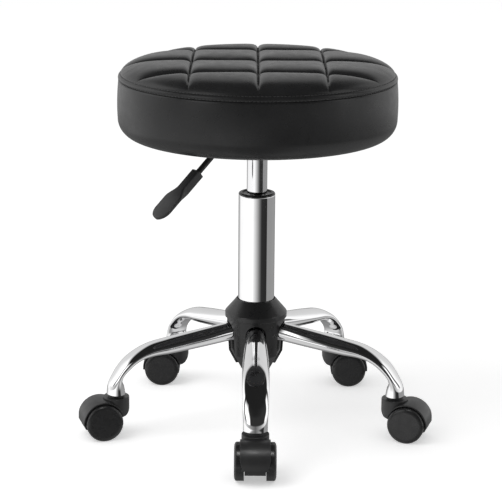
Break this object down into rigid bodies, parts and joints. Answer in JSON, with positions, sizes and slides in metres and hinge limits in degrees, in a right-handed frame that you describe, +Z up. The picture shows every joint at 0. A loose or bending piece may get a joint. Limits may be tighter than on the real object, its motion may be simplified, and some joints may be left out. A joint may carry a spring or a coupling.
{
  "type": "adjustable swivel stool",
  "caption": "Backless round rolling stool: quilted leatherette seat on a gas lift with a release lever, chrome star base with hooded twin-wheel casters.",
  "frame": {"origin": "on the floor, on the column's axis", "axes": "+Z up along the column, the pictured front towards -Y"},
  "size_m": [0.4842, 0.438, 0.513],
  "materials": {
    "chrome": "polished chrome plate",
    "bright_steel": "ground and plated steel",
    "plain_steel": "zinc plated steel",
    "black_steel": "black powder coat",
    "hub_plastic": "fine satin moulding",
    "lever_plastic": "satin moulding",
    "caster_plastic": "satin moulding",
    "wheel_nylon": "satin nylon",
    "buffer_rubber": "matt rubber",
    "seat_leather": "soft-sheen leatherette with a fine grain",
    "seat_foam": "open foam",
    "dust_fabric": "non-woven fabric",
    "plywood": "bare plywood"
  },
  "bodies": {
    "base": {"hub_tube": "plain_steel", "hub_bell": "hub_plastic", "hub_collar": "hub_plastic", "column_tube": "chrome", "guide_bush": "hub_plastic", "lower_race": "plain_steel", "thrust_balls": "plain_steel", "stem_sleeves": "plain_steel", "leg_1": "chrome", "leg_2": "chrome", "leg_3": "chrome", "leg_4": "chrome", "leg_5": "chrome"},
    "lift_rod": {"upper_race": "plain_steel", "rubber_buffer": "buffer_rubber", "piston_rod": "plain_steel", "piston": "plain_steel", "retaining_clip": "plain_steel"},
    "seat": {"gas_cylinder": "bright_steel", "cylinder_gland": "plain_steel", "taper_socket": "black_steel", "seat_plate": "black_steel", "plate_bolts": "plain_steel", "tee_nuts": "plain_steel", "pivot_bracket": "black_steel", "lever_pivot_pin": "plain_steel", "seat_board": "plywood", "seat_foam": "seat_foam", "seat_top_panel": "seat_leather", "seat_side_band": "seat_leather", "dust_cover": "dust_fabric"},
    "lever": {"lever_rod": "black_steel", "lever_paddle": "lever_plastic"},
    "button": {"release_button": "plain_steel"},
    "caster_1": {"caster_1_hood": "caster_plastic", "caster_1_stem": "plain_steel", "caster_1_axle": "plain_steel"},
    "wheel_1_left": {"caster_1_wheel_left": "wheel_nylon"},
    "wheel_1_right": {"caster_1_wheel_right": "wheel_nylon"},
    "caster_2": {"caster_2_hood": "caster_plastic", "caster_2_stem": "plain_steel", "caster_2_axle": "plain_steel"},
    "wheel_2_left": {"caster_2_wheel_left": "wheel_nylon"},
    "wheel_2_right": {"caster_2_wheel_right": "wheel_nylon"},
    "caster_3": {"caster_3_hood": "caster_plastic", "caster_3_stem": "plain_steel", "caster_3_axle": "plain_steel"},
    "wheel_3_left": {"caster_3_wheel_left": "wheel_nylon"},
    "wheel_3_right": {"caster_3_wheel_right": "wheel_nylon"},
    "caster_4": {"caster_4_hood": "caster_plastic", "caster_4_stem": "plain_steel", "caster_4_axle": "plain_steel"},
    "wheel_4_left": {"caster_4_wheel_left": "wheel_nylon"},
    "wheel_4_right": {"caster_4_wheel_right": "wheel_nylon"},
    "caster_5": {"caster_5_hood": "caster_plastic", "caster_5_stem": "plain_steel", "caster_5_axle": "plain_steel"},
    "wheel_5_left": {"caster_5_wheel_left": "wheel_nylon"},
    "wheel_5_right": {"caster_5_wheel_right": "wheel_nylon"}
  },
  "joints": [
    {"name": "seat_swivel", "type": "hinge", "parent": "base", "child": "lift_rod", "pos_m": [0, 0, 0.08803], "axis": [0, 0, 1], "continuous": true},
    {"name": "seat_height", "type": "slide", "parent": "lift_rod", "child": "seat", "axis": [0, 0, 1], "range_m": [-0.042, 0.085]},
    {"name": "lever_tip", "type": "hinge", "parent": "seat", "child": "lever", "pos_m": [-0.02642, -0.0214, 0.39603], "axis": [-0.6293, 0.7771, 0], "range_deg": [0, 6], "stiffness_Nm_per_rad": 2},
    {"name": "button_press", "type": "slide", "parent": "seat", "child": "button", "axis": [0, 0, 1], "range_m": [-0.0045, 0]},
    {"name": "caster_1_swivel", "type": "hinge", "parent": "base", "child": "caster_1", "pos_m": [0, -0.2, 0.055], "axis": [0, 0, 1], "continuous": true},
    {"name": "wheel_1_left_roll", "type": "hinge", "parent": "caster_1", "child": "wheel_1_left", "pos_m": [0, -0.221, 0.025], "axis": [1, 0, 0], "continuous": true},
    {"name": "wheel_1_right_roll", "type": "hinge", "parent": "caster_1", "child": "wheel_1_right", "pos_m": [0, -0.221, 0.025], "axis": [1, 0, 0], "continuous": true},
    {"name": "caster_2_swivel", "type": "hinge", "parent": "base", "child": "caster_2", "pos_m": [0.19021, -0.0618, 0.055], "axis": [0, 0, 1], "continuous": true},
    {"name": "wheel_2_left_roll", "type": "hinge", "parent": "caster_2", "child": "wheel_2_left", "pos_m": [0.21018, -0.06829, 0.025], "axis": [0.309, 0.9511, 0], "continuous": true},
    {"name": "wheel_2_right_roll", "type": "hinge", "parent": "caster_2", "child": "wheel_2_right", "pos_m": [0.21018, -0.06829, 0.025], "axis": [0.309, 0.9511, 0], "continuous": true},
    {"name": "caster_3_swivel", "type": "hinge", "parent": "base", "child": "caster_3", "pos_m": [0.11756, 0.1618, 0.055], "axis": [0, 0, 1], "continuous": true},
    {"name": "wheel_3_left_roll", "type": "hinge", "parent": "caster_3", "child": "wheel_3_left", "pos_m": [0.13856, 0.1618, 0.025], "axis": [0, 1, 0], "continuous": true},
    {"name": "wheel_3_right_roll", "type": "hinge", "parent": "caster_3", "child": "wheel_3_right", "pos_m": [0.13856, 0.1618, 0.025], "axis": [0, 1, 0], "continuous": true},
    {"name": "caster_4_swivel", "type": "hinge", "parent": "base", "child": "caster_4", "pos_m": [-0.11756, 0.1618, 0.055], "axis": [0, 0, 1], "continuous": true},
    {"name": "wheel_4_left_roll", "type": "hinge", "parent": "caster_4", "child": "wheel_4_left", "pos_m": [-0.13856, 0.1618, 0.025], "axis": [0, -1, 0], "continuous": true},
    {"name": "wheel_4_right_roll", "type": "hinge", "parent": "caster_4", "child": "wheel_4_right", "pos_m": [-0.13856, 0.1618, 0.025], "axis": [0, -1, 0], "continuous": true},
    {"name": "caster_5_swivel", "type": "hinge", "parent": "base", "child": "caster_5", "pos_m": [-0.19021, -0.0618, 0.055], "axis": [0, 0, 1], "continuous": true},
    {"name": "wheel_5_left_roll", "type": "hinge", "parent": "caster_5", "child": "wheel_5_left", "pos_m": [-0.21018, -0.06829, 0.025], "axis": [0.309, -0.9511, 0], "continuous": true},
    {"name": "wheel_5_right_roll", "type": "hinge", "parent": "caster_5", "child": "wheel_5_right", "pos_m": [-0.21018, -0.06829, 0.025], "axis": [0.309, -0.9511, 0], "continuous": true}
  ],
  "couplings": [
    {"joint": "button_press", "follows": "lever_tip", "m_per_rad": -0.034}
  ]
}
